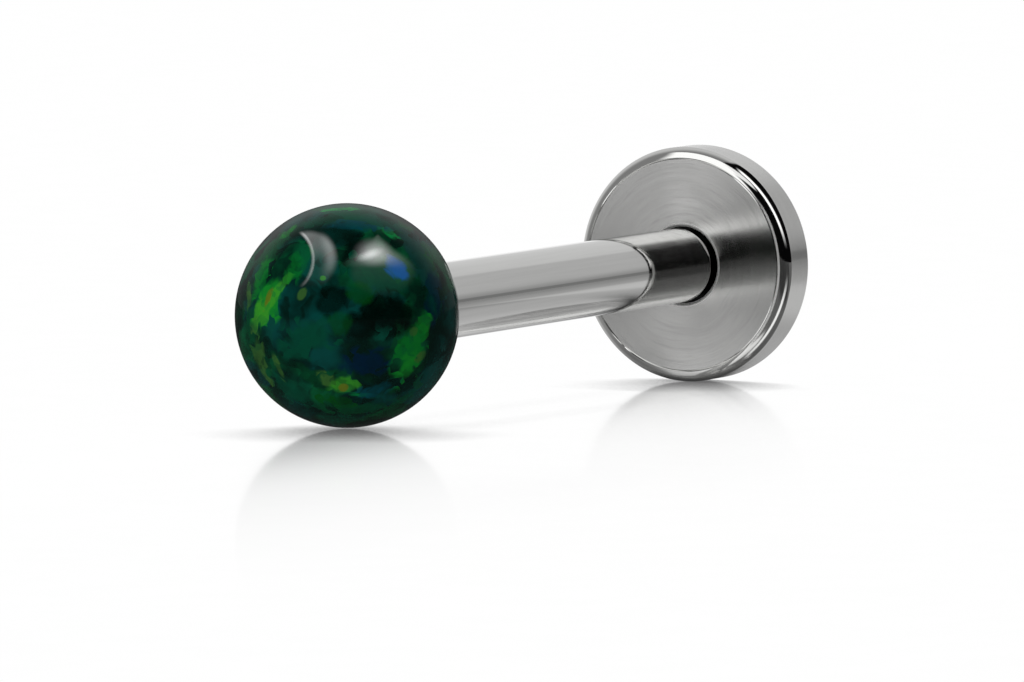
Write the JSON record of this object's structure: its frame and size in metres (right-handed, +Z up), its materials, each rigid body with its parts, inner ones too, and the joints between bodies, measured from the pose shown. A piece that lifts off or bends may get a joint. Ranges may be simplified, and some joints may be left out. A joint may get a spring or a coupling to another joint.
{
  "type": "labret stud",
  "caption": "Labret stud lying as it rests: a straight polished steel post with a flat round disc back and a dark green opal ball that screws off.",
  "frame": {"origin": "on the surface that the stud lies on, below the middle of its length", "axes": "+Z is up; +X runs along the stud from the ball towards the disc back, level, while the post itself leans about 0.9 degrees down towards the ball"},
  "size_m": [0.0136, 0.0038, 0.0038],
  "materials": {
    "disc_steel": "surgical steel, satin turned faces and satin rim, polished shoulder",
    "post_steel": "surgical steel, polished",
    "pin_steel": "surgical steel, machined",
    "opal": "synthetic opal, dark green with green, yellow and blue flashes, polished"
  },
  "bodies": {
    "stud": {"post": "post_steel", "disc_back": "disc_steel"},
    "ball": {"opal_ball": "opal", "threaded_pin": "pin_steel"}
  },
  "joints": [
    {"name": "ball_unscrew", "type": "slide", "parent": "stud", "child": "ball", "axis": [-0.9999, 0, -0.0155], "range_m": [0, 0.012]}
  ]
}
